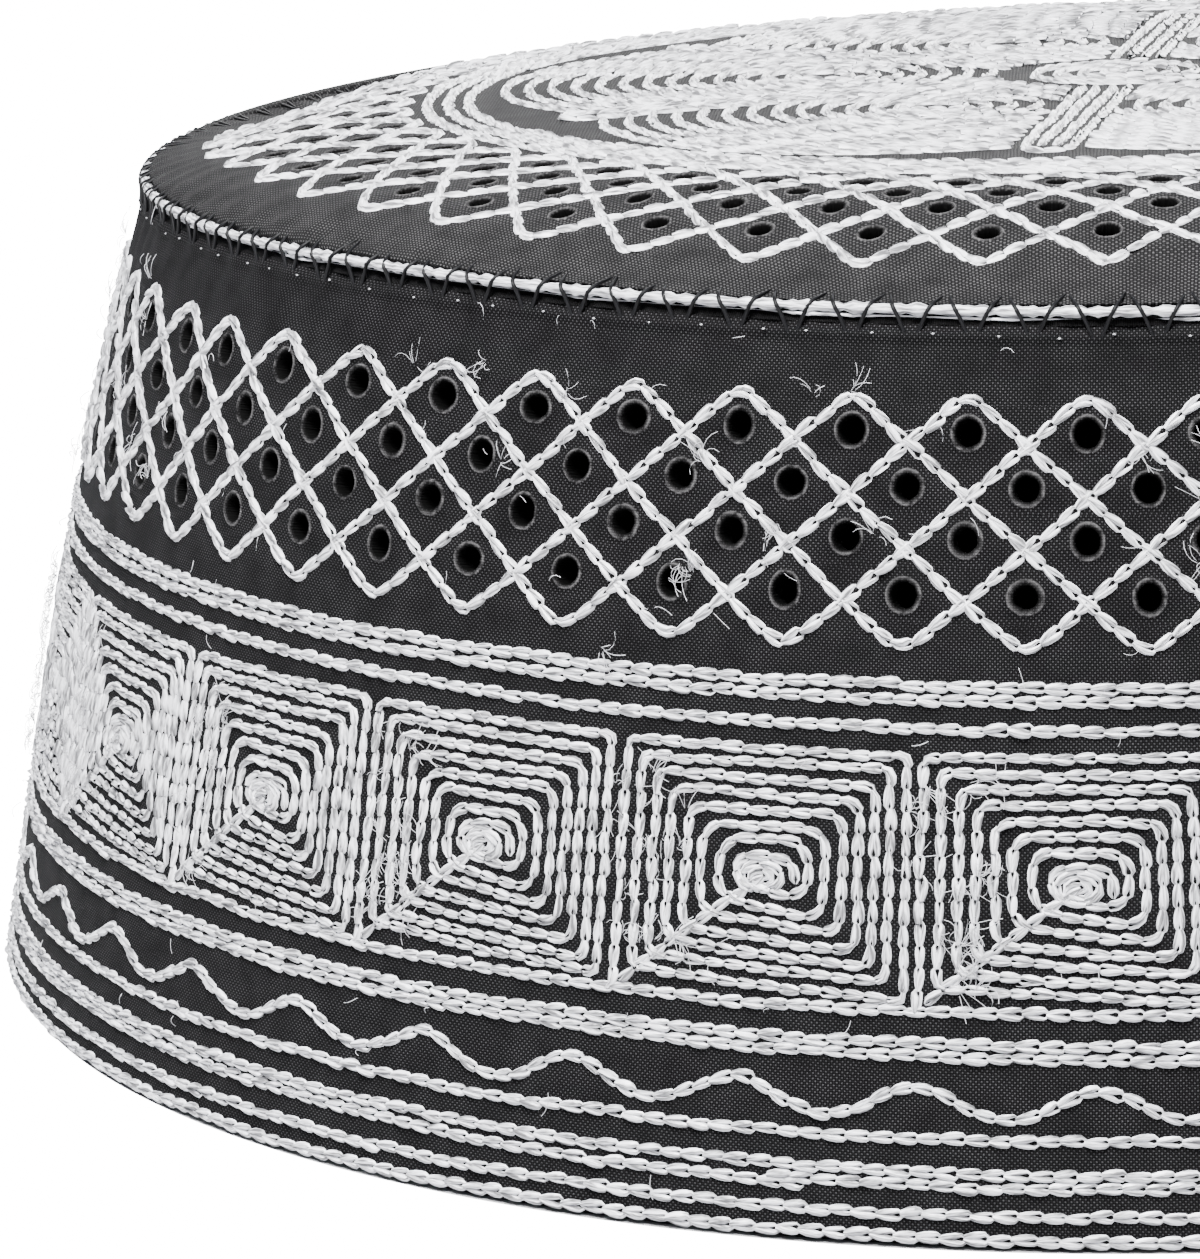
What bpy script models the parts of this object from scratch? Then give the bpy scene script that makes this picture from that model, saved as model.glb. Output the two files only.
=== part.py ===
"""Kufi cap: a stiff round cotton cap with a leaning side band and a flat, softly domed crown.

Three sewn pieces are modelled at their real size, in metres, standing on the rim with +Z up:
the side band, pierced by rows of eyelets, the crown above it, and the white cord along their seam.
The front of the cap faces -Y. The embroidery lies on these cloth walls and isn't part of them.
"""
import math

import bmesh
import bpy
from mathutils import Matrix, Vector

# Driving sizes of the cap
RIM_RADIUS = 0.0930
SEAM_RADIUS = 0.0790
SEAM_HEIGHT = 0.0653
CROWN_HEIGHT = 0.0710
CLOTH = 0.0022
CORD_DIAMETER = 0.0010
PIECE_GAP = 0.0003

# Turned hem at the rim
HEM_HEIGHT = 0.0030
HEM_ROLL = 0.0003
HEM_ROUND = 0.0006

# How the side leans in: shares of the whole lean at the first, second and third power of height
SIDE_LEAN = (0.833, -0.105, 0.272)

# Crown dome: a slight swell, then a fall towards the shoulder, both as they reach the seam
CROWN_SWELL = 0.0005
CROWN_FALL = 0.0050
SHOULDER_WIDTH = 0.0070

# The crown is sewn on a little askew: it rises to the right and to the front
LEAN_RIGHT = math.radians(1.0)
LEAN_FRONT = math.radians(1.6)
LEAN_FADE = 0.0021

# Eyelets through the side band: the highest and lowest rows of the embroidered lattice
EYELET_COUNT = 60
EYELET_DIAMETER = 0.0021
EYELET_SIDES = 8
EYELET_TOP_ROW = 0.0564
EYELET_BOTTOM_ROW = 0.0459
EYELET_TURN = 0.0612

# Fineness of the round shapes
BAND_STEPS = 2 * EYELET_COUNT
CROWN_STEPS = 60
CORD_STEPS = 72
CORD_SIDES = 8

# Heights of the band's rings, as shares of the seam height
BAND_OUTER_SHARES = (0.93, 0.78, 0.60, 0.38, 0.18)
BAND_INNER_SHARES = (0.25, 0.60)

# Radii of the crown's rings, as shares of the crown's flat
CROWN_SHARES = (0.30, 0.62, 0.84, 1.00)
SHOULDER_POINTS = 5

FULL_TURN = 2.0 * math.pi
MERGE = 0.00001


def clear_scene():
    for obj in list(bpy.data.objects):
        bpy.data.objects.remove(obj, do_unlink=True)


def make_collection(name):
    collection = bpy.data.collections.new(name)
    bpy.context.scene.collection.children.link(collection)
    return collection


def make_material(name, colour, roughness):
    material = bpy.data.materials.new(name)
    material.use_nodes = True
    shader = material.node_tree.nodes["Principled BSDF"]
    shader.inputs["Base Color"].default_value = (*colour, 1.0)
    shader.inputs["Roughness"].default_value = roughness
    shader.inputs["Metallic"].default_value = 0.0
    return material


def side_radius(height):
    """Outer radius of the side band at a height above the rim."""
    share = height / SEAM_HEIGHT
    lean = sum(part * share ** (power + 1) for power, part in enumerate(SIDE_LEAN))
    return RIM_RADIUS - (RIM_RADIUS - SEAM_RADIUS) * lean


def groove_points(start, end, count=3):
    """The seam's round groove round the cord, from one angle to another, in degrees."""
    reach = CORD_DIAMETER / 2.0 + PIECE_GAP
    for index in range(count):
        angle = math.radians(start + (end - start) * index / (count - 1))
        yield SEAM_RADIUS + reach * math.cos(angle), SEAM_HEIGHT + reach * math.sin(angle)


def crown_flat_radius():
    return SEAM_RADIUS - SHOULDER_WIDTH


def dome_height(radius):
    share = radius / SEAM_RADIUS
    return CROWN_HEIGHT + CROWN_SWELL * share ** 2 - CROWN_FALL * share ** 6


def shoulder_points():
    """The rounded edge of the crown, from its flat out and down to the seam's groove."""
    flat = crown_flat_radius()
    slope = (dome_height(flat) - dome_height(flat - MERGE)) / MERGE
    start = Vector((flat, dome_height(flat)))
    corner = Vector((SEAM_RADIUS, start.y + slope * SHOULDER_WIDTH))
    end = Vector((SEAM_RADIUS, SEAM_HEIGHT + CORD_DIAMETER / 2.0 + PIECE_GAP))
    for index in range(1, SHOULDER_POINTS + 1):
        share = index / SHOULDER_POINTS
        yield tuple(start.lerp(corner, share).lerp(corner.lerp(end, share), share))


def turned_piece(name, profile, steps, closed, turn=0.0):
    """Turn a profile, given from the top of its outer side down, about the cap's axis."""
    mesh = bpy.data.meshes.new(name)
    points = [(radius, 0.0, height) for radius, height in profile]
    edges = [(index, index + 1) for index in range(len(points) - 1)]
    if closed:
        edges.append((len(points) - 1, 0))
    mesh.from_pydata(points, edges, [])
    obj = bpy.data.objects.new(name, mesh)
    obj.rotation_euler.z = turn
    screw = obj.modifiers.new("Turn", "SCREW")
    screw.axis = "Z"
    screw.angle = FULL_TURN
    screw.steps = steps
    screw.render_steps = steps
    screw.use_merge_vertices = True
    screw.merge_threshold = MERGE
    screw.use_smooth_shade = True
    return obj


def eyelet_cutters(collection):
    """Short bars through the wall, one for each eyelet of the two rows, in one mesh."""
    cutters = bmesh.new()
    for height, offset in ((EYELET_TOP_ROW, 0.0), (EYELET_BOTTOM_ROW, 0.5)):
        middle = side_radius(height) - CLOTH / 2.0
        rise = Vector((side_radius(height + CLOTH) - side_radius(height), 0.0, CLOTH))
        outward = Vector((rise.z, 0.0, -rise.x)).normalized()
        for index in range(EYELET_COUNT):
            angle = FULL_TURN * (EYELET_TURN + (index + offset) / EYELET_COUNT) - math.pi
            spin = Matrix.Rotation(angle, 4, "Z")
            aim = outward.to_track_quat("Z", "Y").to_matrix().to_4x4()
            place = spin @ Matrix.Translation((middle, 0.0, height)) @ aim
            bmesh.ops.create_cone(
                cutters, cap_ends=True, segments=EYELET_SIDES, radius1=EYELET_DIAMETER / 2.0,
                radius2=EYELET_DIAMETER / 2.0, depth=3.0 * CLOTH, matrix=place)
    mesh = bpy.data.meshes.new("eyelet_cutters")
    cutters.to_mesh(mesh)
    cutters.free()
    obj = bpy.data.objects.new("eyelet_cutters", mesh)
    obj.display_type = "WIRE"
    obj.hide_render = True
    collection.objects.link(obj)
    return obj


def build_side_band(parts, cutters):
    inside = SEAM_RADIUS - CLOTH
    outer = [point for point in groove_points(180.0 + 30.0, 270.0)]
    outer += [(side_radius(share * SEAM_HEIGHT), share * SEAM_HEIGHT) for share in BAND_OUTER_SHARES]
    outer.append((side_radius(HEM_HEIGHT), HEM_HEIGHT))
    outer.append((side_radius(HEM_ROUND) + HEM_ROLL, HEM_ROUND * 2.0))
    outer.append((RIM_RADIUS + HEM_ROLL - HEM_ROUND, 0.0))
    inner = [(RIM_RADIUS - CLOTH, 0.0)]
    inner += [(side_radius(share * SEAM_HEIGHT) - CLOTH, share * SEAM_HEIGHT)
              for share in BAND_INNER_SHARES]
    inner.append((inside, outer[0][1]))
    facet = FULL_TURN / BAND_STEPS
    turn = FULL_TURN * EYELET_TURN - math.pi + facet / 2.0
    band = turned_piece("side_band", outer + inner, BAND_STEPS, True, turn)
    parts.objects.link(band)
    cut = band.modifiers.new("Eyelets", "BOOLEAN")
    cut.operation = "DIFFERENCE"
    cut.solver = "EXACT"
    cut.object = eyelet_cutters(cutters)
    return band


def crown_lean(x, y):
    """How far the crown stands above or below its level height, from its skewed seam."""
    radius = math.hypot(x, y)
    tilt = x * math.tan(LEAN_RIGHT) - y * math.tan(LEAN_FRONT)
    lip = SEAM_HEIGHT + CORD_DIAMETER / 2.0 + PIECE_GAP
    rise = max(dome_height(min(radius, SEAM_RADIUS)) - lip, 0.0)
    if radius > crown_flat_radius():
        rise *= (SEAM_RADIUS - min(radius, SEAM_RADIUS)) / SHOULDER_WIDTH
    if tilt < 0.0:
        return tilt * rise / (CROWN_HEIGHT - lip)
    return tilt * (1.0 - (1.0 - min(rise / LEAN_FADE, 1.0)) ** 2)


def build_crown(parts):
    flat = crown_flat_radius()
    groove = list(groove_points(90.0, 180.0 - 30.0))
    outer = [(0.0, CROWN_HEIGHT)]
    outer += [(share * flat, dome_height(share * flat)) for share in CROWN_SHARES]
    outer += list(shoulder_points())
    inner_edge = SEAM_RADIUS - CLOTH - PIECE_GAP
    lip = [(inner_edge, groove[-1][1])]
    inner = [(share * flat, dome_height(share * flat) - CLOTH) for share in reversed(CROWN_SHARES)]
    inner.append((0.0, CROWN_HEIGHT - CLOTH))
    profile = outer + groove[1:] + lip + inner
    turned = turned_piece("crown_turned", profile, CROWN_STEPS, False)
    bpy.context.scene.collection.objects.link(turned)
    graph = bpy.context.evaluated_depsgraph_get()
    mesh = bpy.data.meshes.new_from_object(turned.evaluated_get(graph))
    bpy.data.objects.remove(turned, do_unlink=True)
    mesh.name = "crown"
    seam_top = SEAM_HEIGHT + CORD_DIAMETER / 2.0 + PIECE_GAP
    for vertex in mesh.vertices:
        x, y, z = vertex.co
        if math.hypot(x, y) < flat + MERGE or z > seam_top + MERGE:
            vertex.co.z = z + crown_lean(x, y)
    crown = bpy.data.objects.new("crown", mesh)
    parts.objects.link(crown)
    return crown


def build_seam_cord(parts):
    bpy.ops.mesh.primitive_torus_add(
        major_radius=SEAM_RADIUS, minor_radius=CORD_DIAMETER / 2.0,
        major_segments=CORD_STEPS, minor_segments=CORD_SIDES, location=(0.0, 0.0, SEAM_HEIGHT))
    cord = bpy.context.object
    cord.name = "seam_cord"
    cord.data.name = "seam_cord"
    for collection in list(cord.users_collection):
        collection.objects.unlink(cord)
    parts.objects.link(cord)
    cord.data.shade_smooth()
    return cord


def build_cap():
    clear_scene()
    parts = make_collection("kufi_cap")
    cutters = make_collection("kufi_cap_cutters")
    cloth = (0.022, 0.021, 0.024)
    band = build_side_band(parts, cutters)
    band.data.materials.append(make_material("side_cloth", cloth, 0.75))
    crown = build_crown(parts)
    crown.data.materials.append(make_material("crown_cloth", cloth, 0.72))
    cord = build_seam_cord(parts)
    cord.data.materials.append(make_material("cord_thread", (0.80, 0.80, 0.84), 0.50))


build_cap()
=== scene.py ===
"""Looks of an embroidered kufi cap: black woven cotton, white chain stitch, eyelets and a corded seam.

The cap's cloth is made round the CAD solids, and every thread is laid along a path on that cloth.
Paths on the side are drawn flat, as metres along the rim and metres up.
Paths on the crown are drawn in plan, in metres.
The panel in the 3D view's sidebar lists the pieces in the order in which they are made.
"""
import math

import bmesh
import bpy
import numpy as np
from bpy.props import FloatProperty, FloatVectorProperty, PointerProperty
from mathutils import Matrix, Vector


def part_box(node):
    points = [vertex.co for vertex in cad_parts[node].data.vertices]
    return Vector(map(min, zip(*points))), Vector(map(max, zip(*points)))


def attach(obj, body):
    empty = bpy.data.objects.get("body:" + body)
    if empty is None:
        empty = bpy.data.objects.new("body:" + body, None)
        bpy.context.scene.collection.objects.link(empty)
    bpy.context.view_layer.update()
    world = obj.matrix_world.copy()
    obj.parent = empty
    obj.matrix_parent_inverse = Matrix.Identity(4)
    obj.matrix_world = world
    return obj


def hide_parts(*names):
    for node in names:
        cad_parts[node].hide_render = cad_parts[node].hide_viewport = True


bl_info = {
    "name": "Embroidered kufi cap",
    "version": (1, 0, 0),
    "blender": (4, 5, 0),
    "location": "3D View > Sidebar > Kufi cap",
    "description": "Cloth, eyelets, chain stitching and seam of an embroidered kufi cap",
    "category": "Add Mesh",
}

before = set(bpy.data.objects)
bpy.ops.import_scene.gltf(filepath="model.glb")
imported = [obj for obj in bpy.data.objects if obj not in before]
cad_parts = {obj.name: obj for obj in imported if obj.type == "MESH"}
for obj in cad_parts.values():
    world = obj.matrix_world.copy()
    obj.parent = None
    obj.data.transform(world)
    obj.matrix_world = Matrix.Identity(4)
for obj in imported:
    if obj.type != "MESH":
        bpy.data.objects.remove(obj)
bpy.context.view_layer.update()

# Where the cap's main form comes from the frame
MM = 0.001
CORD_LOW, CORD_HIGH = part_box("seam_cord")
CORD_DIAMETER = CORD_HIGH[2] - CORD_LOW[2]
SEAM_RADIUS = (CORD_HIGH[0] - CORD_LOW[0] - CORD_DIAMETER) / 2.0
SEAM_HEIGHT = (CORD_HIGH[2] + CORD_LOW[2]) / 2.0
RIM_RADIUS = 93.0 * MM
CROWN_HEIGHT = 71.0 * MM
PIECE_GAP = 0.3 * MM
CLOTH = 2.2 * MM
FULL_TURN = 2.0 * math.pi
RIM_LENGTH = FULL_TURN * RIM_RADIUS

# The same curves as the solids: the side's lean, the crown's dome, shoulder and skew
SIDE_LEAN = (0.833, -0.105, 0.272)
CROWN_SWELL = 0.5 * MM
CROWN_FALL = 5.0 * MM
SHOULDER_WIDTH = 7.0 * MM
LEAN_RIGHT = math.radians(1.0)
LEAN_FRONT = math.radians(1.6)
LEAN_FADE = 2.1 * MM
LIP_HEIGHT = SEAM_HEIGHT + CORD_DIAMETER / 2.0 + PIECE_GAP
CROWN_FLAT = SEAM_RADIUS - SHOULDER_WIDTH

# The cloth lies a little under the solids' faces, so that the thread's top is where the photo shows it
CROWN_SINK = 0.24 * MM
SIDE_SINK = 0.10 * MM

# Worn shape: the cap bulges and sags at one side, and the crown's sewn edge goes in soft waves
BULGE_ANGLE = -3.727
BULGE_OUT = 1.39 * MM
BULGE_DROP = 1.53 * MM
EDGE_WAVE_LEVEL = -0.82 * MM
EDGE_WAVES = ((0.40, -0.44), (0.24, 0.61), (-0.28, -0.54), (-0.02, 0.40))
EDGE_WAVE_START = 63.0 * MM
EDGE_WAVE_TOP = 75.0 * MM
BACK_SAG = 0.8 * MM

# Side motifs: turns are shares of the rim from the left of the cap, and heights are above the rim.
# A plump value is a thread's thickness as a share of the rows' thread.
# The rounding of the squares and the sizes of their knots are in millimetres.
LATTICE_COUNT = 60
LATTICE_TURN = 0.0615
LATTICE_TOP = 59.85 * MM
LATTICE_BOTTOM = 41.55 * MM
LATTICE_SPAN = 2.5
LATTICE_STEPS = 5
CORNER_SOFTNESS = 0.026
WANDER_TURNS = (0.02, 0.0615, 0.0782, 0.0948, 0.1115, 0.1282, 0.1448, 0.16)
WANDER_SHIFTS = (0.0, -3.2 * MM, -1.5 * MM, -2.8 * MM, -2.3 * MM, -1.1 * MM, -0.3 * MM, 0.0)
WANDER_HEIGHTS = (38.0 * MM, 42.0 * MM, 56.0 * MM, 60.0 * MM, 64.0 * MM)
WANDER_SHARES = (0.0, 0.35, 1.0, 1.0, 0.0)
SIDE_EYELET_ROWS = (57.0 * MM, 53.2 * MM, 49.6 * MM, 45.7 * MM)
SQUARE_COUNT = 24
SQUARE_TURN = 0.0973
SQUARE_BASE = 16.6 * MM
SQUARE_TOP = 34.5 * MM
SQUARE_LOOPS = 8
SQUARE_PITCH_ACROSS = 1.30 * MM
SQUARE_PITCH_UP = 1.08 * MM
SQUARE_GAP = 1.35 * MM
SQUARE_JITTER = 0.07 * MM
SQUARE_ROUNDING = (0.4, 2.3)
SQUARE_PLUMP = 0.84
KNOT_TURNS = 1.9
KNOT_RADIUS = 1.45
KNOT_SHRINK = 1.0
WAVE_COUNT = 43
WAVE_TURN = 0.2462
WAVE_MIDDLE = 10.1 * MM
WAVE_SWING = 1.08 * MM
ROW_HEIGHTS = {
    "hem_lower": 0.62 * MM, "hem_upper": 2.25 * MM, "wave_under": 7.6 * MM,
    "pair_lower": 13.45 * MM, "pair_upper": 14.35 * MM,
    "over_squares": 36.45 * MM, "top_lower": 38.45 * MM, "top_upper": 39.4 * MM,
}
LOOSE_ROW_LOW = 4.35 * MM
LOOSE_ROW_HIGH = 5.25 * MM
LOOSE_ROW_START = 0.2045
LOOSE_ROW_OVERLAP = 0.0045
LOOSE_ROW_DROP = 0.45 * MM
LOOSE_ROW_DROP_START = 0.93
ROW_RIPPLE = 0.06 * MM
RIPPLE_COUNTS = (5, 17, 41)

# Crown motifs: radii in plan, and one place round the crown where the lattice strays
CROWN_LATTICE_COUNT = 51
CROWN_LATTICE_TURN = 0.0318
CROWN_LATTICE_INNER = 57.9 * MM
CROWN_LATTICE_RISE = (12.3 * MM, 4.9 * MM)
CROWN_WANDER_REACH = 0.0012
CROWN_WANDER_MIDDLE = 0.193
CROWN_WANDER_WIDTH = 0.020
CROWN_PLUMP = 0.88
CROWN_EYELET_SHARE = 0.88
CROWN_HOLE = 0.5 * MM
SHOULDER_LEVEL = 68.5 * MM
CROWN_EYELET_ROWS = (70.45 * MM, 66.5 * MM, 63.5 * MM, 60.6 * MM)
RING_RADII = (56.8 * MM, 55.05 * MM, 53.4 * MM)
PETAL_COUNT = 6
PETAL_START = math.radians(-97.0)
PETAL_EYE = 25.0 * MM
PETAL_REACH = 26.0 * MM
PETAL_PITCH = 1.95 * MM
STEM_END = 48.3 * MM
STEM_HALF = 1.85 * MM
HUB_RADIUS = 8.0 * MM
HUB_TURNS = 4.0
ROSETTE_PLUMP = 0.84

# Seam: its stitches, the fine piping below it, and the puckers and folds of the cloth.
# How far inward an overcast stitch starts is in millimetres.
STITCH_COUNT = 113
STITCH_TURN = 0.2505
PIPING_HEIGHT = 63.65 * MM
PIPING_STAND = 0.24 * MM
PIPING_WIDTH = 0.38 * MM
PUCKER_HEIGHT = 0.20 * MM
PUCKER_FADE = 2.6 * MM
FOLD_HEIGHT = 0.13 * MM
FOLD_FADE = 4.5 * MM
CORD_THREAD = 0.41 * MM
OVERCAST_DROP = 2.1 * MM
OVERCAST_INWARD = 4.8

# The overcast thread's way over the cord: share of its reach along the seam, then millimetres up and out
OVERCAST_PATH = ((0.36, 0.62, 0.24), (0.50, 0.20, 0.56), (0.66, -0.45, 0.46))

# Lint: single hairs and tufts, one tuft in each cycle on the lattice and the others on the squares
SINGLE_HAIRS = 500
TUFTS = 660
TUFT_CYCLE = 5
SQUARE_LINT = (18.0, 33.0)
LATTICE_LINT = (40.0, 60.0)

# Weave and strands: yarn pitches, how far a yarn strays, filaments per metre along and across a strand
SIDE_YARN = 0.19 * MM
CROWN_YARN = 0.26 * MM
YARN_WOBBLE = 0.16 * MM
STRAND_TWIST = math.radians(14.0)
FILAMENTS = (480.0, 4800.0, 1.0)
# Near-black painted shade on the walls and lips of the eyelet holes
HOLE_SHADE = (0.0004, 0.0004, 0.0004)

# Spacing of the points along a thread's path, the step over which a slope is read, and the reach of the
# weld between the cells of cloth
PATH_STEP = 0.25 * MM
SLOPE_STEP = 0.05 * MM
WELD_REACH = 0.012 * MM

# Seeds of the random draws
SEED_CHAIN = 11
SEED_LINT = 23
SEED_SEAM = 31


class CapSizes(bpy.types.PropertyGroup):
    """Sizes of the cap's threads and eyelets"""

    row_link: FloatProperty(
        name="Row link", description="Length of a chain link in the long rows round the cap",
        default=1.72 * MM, min=0.05 * MM, unit="LENGTH")
    lattice_link: FloatProperty(
        name="Lattice link", description="Length of a chain link in the lattices and on the crown",
        default=1.68 * MM, min=0.05 * MM, unit="LENGTH")
    square_link: FloatProperty(
        name="Square link", description="Length of a chain link in the nested squares and the wave",
        default=1.60 * MM, min=0.05 * MM, unit="LENGTH")
    chain_width: FloatProperty(
        name="Chain width", description="Width over both strands of a link",
        default=0.92 * MM, min=0.05 * MM, unit="LENGTH")
    strand_width: FloatProperty(
        name="Strand width", description="Width of one strand of a link",
        default=0.52 * MM, min=0.05 * MM, unit="LENGTH")
    eyelet_diameter: FloatProperty(
        name="Eyelet", description="Diameter of a punched eyelet",
        default=1.85 * MM, min=0.05 * MM, unit="LENGTH")
    rim_diameter: FloatProperty(
        name="Eyelet rim", description="Diameter over the melted rim of an eyelet",
        default=2.50 * MM, min=0.05 * MM, unit="LENGTH")
    overcast_diameter: FloatProperty(
        name="Overcast thread", description="Diameter of the black thread over the seam",
        default=0.32 * MM, min=0.05 * MM, unit="LENGTH")


class CapColours(bpy.types.PropertyGroup):
    """Colours of the cap's cloth and threads, among them painted highlights on the yarns and eyelet ridges
    and painted light on the crown
    """

    cloth: FloatVectorProperty(
        name="Cloth", description="Colour of the side's cotton between its yarns",
        default=(0.0007, 0.0007, 0.0008), subtype="COLOR", size=3, min=0.0, max=1.0)
    # Painted highlight: the light caught on the crowns of the side's raised yarns
    cloth_highlight: FloatVectorProperty(
        name="Cloth highlight", description="Colour of the side's raised yarns",
        default=(0.0520, 0.0510, 0.0535), subtype="COLOR", size=3, min=0.0, max=1.0)
    # Painted light: the same black cotton as the side's, made lighter where the crown faces up to the light
    crown: FloatVectorProperty(
        name="Crown", description="Colour of the crown's cotton between its yarns",
        default=(0.0040, 0.0040, 0.0042), subtype="COLOR", size=3, min=0.0, max=1.0)
    # Painted highlight on the crown's raised yarns, also lighter as painted light where the crown faces up
    crown_highlight: FloatVectorProperty(
        name="Crown highlight", description="Colour of the crown's raised yarns",
        default=(0.1010, 0.0990, 0.1005), subtype="COLOR", size=3, min=0.0, max=1.0)
    # Painted highlight: the shine on the melted ridge round an eyelet
    eyelet_rim_shine: FloatVectorProperty(
        name="Eyelet rim", description="Colour of the melted ridge round an eyelet",
        default=(0.0900, 0.0880, 0.0890), subtype="COLOR", size=3, min=0.0, max=1.0)
    thread: FloatVectorProperty(
        name="White thread", description="Colour of the embroidery thread",
        default=(0.93, 0.93, 0.97), subtype="COLOR", size=3, min=0.0, max=1.0)
    black_thread: FloatVectorProperty(
        name="Black thread", description="Colour of the overcast thread",
        default=(0.0030, 0.0030, 0.0034), subtype="COLOR", size=3, min=0.0, max=1.0)
    floor: FloatVectorProperty(
        name="Floor", description="Colour of the floor",
        default=(0.42, 0.42, 0.43), subtype="COLOR", size=3, min=0.0, max=1.0)


def side_radius(height):
    """Radius of the side's outer face, which leans in towards the seam."""
    share = height / SEAM_HEIGHT
    lean = sum(part * share ** (power + 1) for power, part in enumerate(SIDE_LEAN))
    return RIM_RADIUS - (RIM_RADIUS - SEAM_RADIUS) * lean


def bulge_share(angle):
    """How strong the worn bulge is at an angle round the cap, from none to one."""
    return np.maximum(0.0, np.cos(angle - BULGE_ANGLE)) ** 2


def on_side(flat, lift):
    """Points and outward normals of the side, from metres along the rim and metres up."""
    along = flat[..., 0]
    height = flat[..., 1]
    angle = along / RIM_RADIUS - math.pi
    step = SLOPE_STEP
    slope = (side_radius(height + step) - side_radius(height - step)) / (2.0 * step)
    steep = 1.0 / np.sqrt(1.0 + slope ** 2)
    bulge = bulge_share(angle)
    out = side_radius(height) + BULGE_OUT * bulge + lift * steep
    up = height - lift * slope * steep - BULGE_DROP * bulge * (height / SEAM_HEIGHT) ** 3
    normal = np.stack([np.cos(angle) * steep, np.sin(angle) * steep, -slope * steep], -1)
    return np.stack([out * np.cos(angle), out * np.sin(angle), up], -1), normal


def dome_height(radius):
    """Height of the crown's dome at a radius, without its shoulder."""
    share = radius / SEAM_RADIUS
    return CROWN_HEIGHT + CROWN_SWELL * share ** 2 - CROWN_FALL * share ** 6


def profile_height(radius):
    """Height of the level crown at a radius: the dome, then the rounded shoulder."""
    start = dome_height(CROWN_FLAT)
    slope = (start - dome_height(CROWN_FLAT - 0.01 * MM)) / (0.01 * MM)
    corner = start + slope * SHOULDER_WIDTH
    reach = np.clip((radius - CROWN_FLAT) / SHOULDER_WIDTH, 0.0, 1.0)
    share = 1.0 - np.sqrt(1.0 - reach)
    shoulder = (1 - share) ** 2 * start + 2 * share * (1 - share) * corner + share ** 2 * LIP_HEIGHT
    return np.where(radius < CROWN_FLAT, dome_height(np.minimum(radius, CROWN_FLAT)), shoulder)


def crown_lean(x, y):
    """How far the askew crown stands above or below its level height."""
    radius = np.hypot(x, y)
    tilt = x * math.tan(LEAN_RIGHT) - y * math.tan(LEAN_FRONT)
    inside = np.minimum(radius, SEAM_RADIUS)
    rise = np.maximum(dome_height(inside) - LIP_HEIGHT, 0.0)
    rise = rise * np.where(radius > CROWN_FLAT, (SEAM_RADIUS - inside) / SHOULDER_WIDTH, 1.0)
    low = tilt * rise / (CROWN_HEIGHT - LIP_HEIGHT)
    high = tilt * (1.0 - (1.0 - np.minimum(rise / LEAN_FADE, 1.0)) ** 2)
    return np.where(tilt < 0.0, low, high)


def edge_waves(angle, radius):
    """Soft waves of the crown's edge, none at the seam and none inside the lattice."""
    share = np.clip((radius - EDGE_WAVE_START) / (EDGE_WAVE_TOP - EDGE_WAVE_START), 0.0, 1.0)
    rise = share * share * (3.0 - 2.0 * share)
    fall = np.sqrt(np.clip((SEAM_RADIUS - radius) / (SEAM_RADIUS - EDGE_WAVE_TOP), 0.0, 1.0))
    wave = EDGE_WAVE_LEVEL
    for number, (even, odd) in enumerate(EDGE_WAVES, start=1):
        wave = wave + MM * (even * np.cos(number * angle) + odd * np.sin(number * angle))
    return wave * rise * fall


def crown_place(x, y):
    """Points of the sewn crown from places in plan, where a radius past the seam turns down behind it."""
    radius = np.hypot(x, y)
    angle = np.arctan2(y, x)
    inside = np.minimum(radius, SEAM_RADIUS)
    past = np.maximum(radius - SEAM_RADIUS, 0.0)
    sag = BACK_SAG * np.clip(y / (0.75 * SEAM_RADIUS), 0.0, 1.0) ** 2 * (1.0 - (inside / SEAM_RADIUS) ** 8)
    height = profile_height(inside) + crown_lean(x, y) + edge_waves(angle, inside) - sag - past
    bulge = bulge_share(angle) * (inside / SEAM_RADIUS) ** 8
    out = inside + BULGE_OUT * bulge - 0.25 * past
    return np.stack([out * np.cos(angle), out * np.sin(angle), height - BULGE_DROP * bulge], -1)


def on_crown(flat, lift):
    """Points and upward normals of the crown, from places in plan."""
    x = flat[..., 0]
    y = flat[..., 1]
    step = SLOPE_STEP
    point = crown_place(x, y)
    normal = np.cross(crown_place(x + step, y) - point, crown_place(x, y + step) - point)
    normal /= np.maximum(np.linalg.norm(normal, axis=-1, keepdims=True), 1e-12)
    return point + normal * np.asarray(lift)[..., None], normal


def on_side_thread(flat, lift):
    return on_side(flat, lift - SIDE_SINK)


def on_crown_thread(flat, lift):
    return on_crown(flat, lift - CROWN_SINK)


def turn_to_rim(turn):
    """Metres along the rim from a share of a turn."""
    return turn * RIM_LENGTH


def mesh_object(name, vertices, faces, material, coords=None, marks=None):
    """A smooth mesh from arrays: faces is an (n, 4) array, coords and marks one pair for each vertex."""
    mesh = bpy.data.meshes.new(name)
    corners = faces.shape[1]
    mesh.vertices.add(len(vertices))
    mesh.vertices.foreach_set("co", np.ascontiguousarray(vertices, dtype=np.float32).ravel())
    mesh.loops.add(faces.size)
    mesh.loops.foreach_set("vertex_index", faces.astype(np.int32).ravel())
    mesh.polygons.add(len(faces))
    mesh.polygons.foreach_set("loop_start", np.arange(0, faces.size, corners, dtype=np.int32))
    for layer_name, values in (("cloth", coords), ("eyelet", marks)):
        if values is not None:
            layer = mesh.uv_layers.new(name=layer_name)
            layer.data.foreach_set("uv", values[faces.ravel()].astype(np.float32).ravel())
    mesh.update(calc_edges=True)
    mesh.validate()
    mesh.shade_smooth()
    mesh.materials.append(material)
    obj = bpy.data.objects.new(name, mesh)
    bpy.context.scene.collection.objects.link(obj)
    return obj


def joined(parts):
    """Join (vertices, faces, further values) groups into one of each."""
    counts = np.cumsum([0] + [len(part[0]) for part in parts[:-1]])
    faces = np.concatenate([part[1] + count for part, count in zip(parts, counts)])
    others = [np.concatenate(values) for values in list(zip(*parts))[2:]]
    return (np.concatenate([part[0] for part in parts]), faces, *others)


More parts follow.
